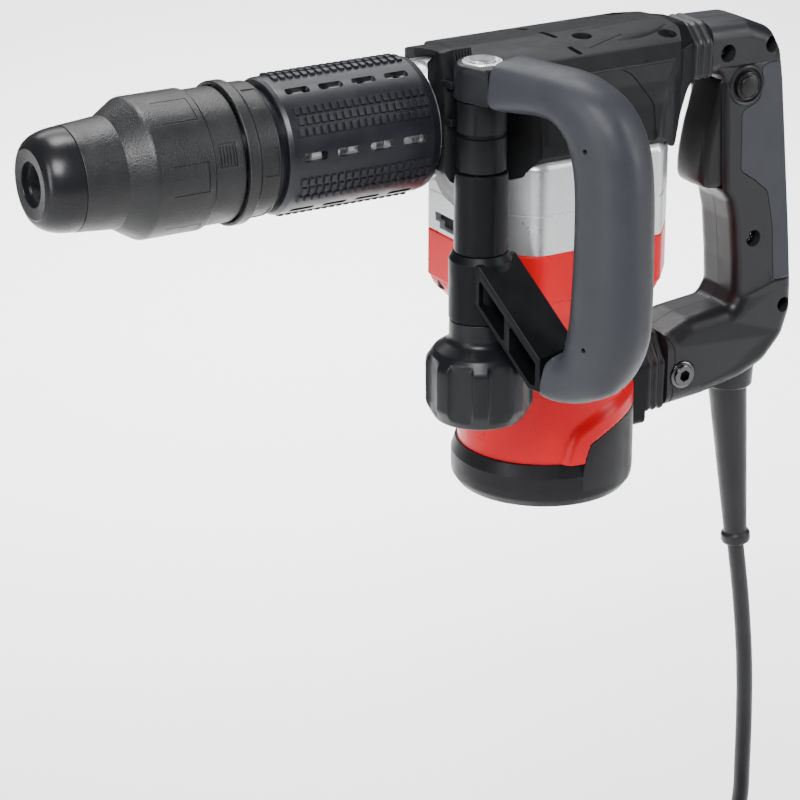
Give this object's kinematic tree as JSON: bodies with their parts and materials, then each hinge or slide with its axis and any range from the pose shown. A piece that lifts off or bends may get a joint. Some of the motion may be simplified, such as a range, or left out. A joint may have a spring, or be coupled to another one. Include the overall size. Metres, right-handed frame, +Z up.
{
  "type": "electric demolition hammer",
  "caption": "Electric chipping hammer for 18 mm slotted shanks, with a spring-damped rear handle, a side loop handle and a mains lead.",
  "frame": {"origin": "mouth of the steel tool bore, on the hammer axis", "axes": "-X out of the tool bore, +Z up, side handle on the -Y side"},
  "size_m": [0.457, 0.1874, 0.5185],
  "materials": {
    "rubber_black": "semi-gloss",
    "sleeve_plastic": "coarse grain",
    "grip_plastic": "satin",
    "steel": "machined",
    "spring_steel": "bright",
    "bare_aluminium": "turned",
    "cast_silver": "metallic silver paint",
    "red_plastic": "satin gloss",
    "cover_plastic": "fine grain",
    "cap_plastic": "fine grain",
    "handle_plastic": "satin",
    "soft_grip": "soft touch",
    "trigger_plastic": "semi-gloss",
    "copper": "bare",
    "laminations": "lacquered",
    "brass": "bare",
    "carbon": "matt",
    "screw_steel": "zinc plated",
    "cord_rubber": "semi-matt",
    "fan_plastic": "moulded"
  },
  "bodies": {
    "machine": {"front_barrel": "bare_aluminium", "grip_sleeve": "grip_plastic", "cylinder_tube": "steel", "crank_bearings": "spring_steel", "gear_housing": "cast_silver", "top_cover": "cover_plastic", "cover_screws": "screw_steel", "side_panels": "cover_plastic", "front_foot": "cover_plastic", "motor_housing": "red_plastic", "base_cap": "cap_plastic", "base_screws": "screw_steel", "pivot_bracket": "cover_plastic", "stator": "laminations", "motor_bearings": "spring_steel", "brush_holders": "brass", "brushes": "carbon", "upper_bellows": "rubber_black", "lower_bellows": "rubber_black", "damper_springs": "spring_steel", "pivot_bolt": "screw_steel"},
    "spindle": {"tool_holder": "steel", "locking_rollers": "steel", "dust_cap": "rubber_black", "sleeve_spring": "spring_steel"},
    "sleeve": {"locking_sleeve": "sleeve_plastic", "locking_ring": "steel"},
    "index": {"index_ring": "sleeve_plastic"},
    "striker": {"striker": "steel"},
    "ram": {"ram": "steel", "ram_seals": "rubber_black"},
    "piston": {"piston": "bare_aluminium", "wrist_pin": "steel"},
    "rod": {"connecting_rod": "bare_aluminium"},
    "crank": {"crankshaft": "steel", "crank_gear": "steel"},
    "rotor": {"armature": "laminations", "commutator": "copper", "fan": "fan_plastic"},
    "rear_handle": {"handle_shell_left": "handle_plastic", "handle_shell_right": "handle_plastic", "soft_insert": "soft_grip", "handle_screws": "screw_steel", "switch": "carbon", "strain_relief": "cord_rubber", "cord": "cord_rubber", "cord_coil": "cord_rubber", "plug": "cord_rubber", "cord_tie": "carbon"},
    "trigger": {"trigger": "trigger_plastic"},
    "lock_button": {"lock_button": "trigger_plastic"},
    "side_clamp": {"clamp_saddle": "cover_plastic", "clamp_band": "steel", "side_post": "steel", "post_nut": "bare_aluminium"},
    "loop_handle": {"loop_core": "handle_plastic", "loop_cover": "soft_grip", "spacer_tube": "cover_plastic", "strut_collar": "cover_plastic"},
    "knob": {"side_knob": "handle_plastic"}
  },
  "joints": [
    {"name": "tool_turn", "type": "hinge", "parent": "machine", "child": "spindle", "pos_m": [0.05, 0, 0], "axis": [1, 0, 0], "continuous": true},
    {"name": "sleeve_pull", "type": "slide", "parent": "spindle", "child": "sleeve", "axis": [1, 0, 0], "range_m": [0, 0.0065], "stiffness_N_per_m": 900, "springref_m": -0.012, "deforming": ["sleeve_spring"]},
    {"name": "index_pull", "type": "slide", "parent": "spindle", "child": "index", "axis": [1, 0, 0], "range_m": [0, 0.003], "stiffness_N_per_m": 1500, "springref_m": -0.003},
    {"name": "striker_travel", "type": "slide", "parent": "machine", "child": "striker", "axis": [-1, 0, 0], "range_m": [0, 0.005]},
    {"name": "ram_travel", "type": "slide", "parent": "machine", "child": "ram", "axis": [1, 0, 0], "range_m": [0, 0.024]},
    {"name": "piston_travel", "type": "slide", "parent": "machine", "child": "piston", "axis": [1, 0, 0], "range_m": [0, 0.03]},
    {"name": "rod_swing", "type": "hinge", "parent": "piston", "child": "rod", "pos_m": [0.1656, 0, 0], "axis": [0, 0, 1], "range_deg": [-15, 15]},
    {"name": "crank_turn", "type": "hinge", "parent": "machine", "child": "crank", "pos_m": [0.2386, 0, -0.035], "axis": [0, 0, 1], "continuous": true},
    {"name": "rotor_turn", "type": "hinge", "parent": "machine", "child": "rotor", "pos_m": [0.265, 0, -0.1], "axis": [0, 0, 1], "continuous": true},
    {"name": "handle_damping", "type": "hinge", "parent": "machine", "child": "rear_handle", "pos_m": [0.3365, 0, -0.1486], "axis": [0, -1, 0], "range_deg": [-0.5, 1.8], "stiffness_Nm_per_rad": 450, "deforming": ["upper_bellows", "lower_bellows", "damper_springs"]},
    {"name": "trigger_pull", "type": "slide", "parent": "rear_handle", "child": "trigger", "axis": [1, 0, 0], "range_m": [0, 0.006], "stiffness_N_per_m": 600, "springref_m": -0.003},
    {"name": "lock_push", "type": "slide", "parent": "rear_handle", "child": "lock_button", "axis": [0, 1, 0], "range_m": [0, 0.002], "stiffness_N_per_m": 500, "springref_m": -0.002},
    {"name": "clamp_swivel", "type": "hinge", "parent": "machine", "child": "side_clamp", "pos_m": [0.202, 0, 0], "axis": [1, 0, 0], "range_deg": [-8, 1.5]},
    {"name": "loop_swivel", "type": "hinge", "parent": "side_clamp", "child": "loop_handle", "pos_m": [0.202, -0.042, 0], "axis": [0, 0, 1], "range_deg": [-60, 30]},
    {"name": "knob_turn", "type": "hinge", "parent": "side_clamp", "child": "knob", "pos_m": [0.202, -0.042, 0], "axis": [0, 0, 1], "continuous": true}
  ],
  "couplings": [
    {"joint": "rotor_turn", "follows": "crank_turn", "ratio": -5},
    {"joint": "ram_travel", "follows": "piston_travel", "ratio": 0.8}
  ]
}
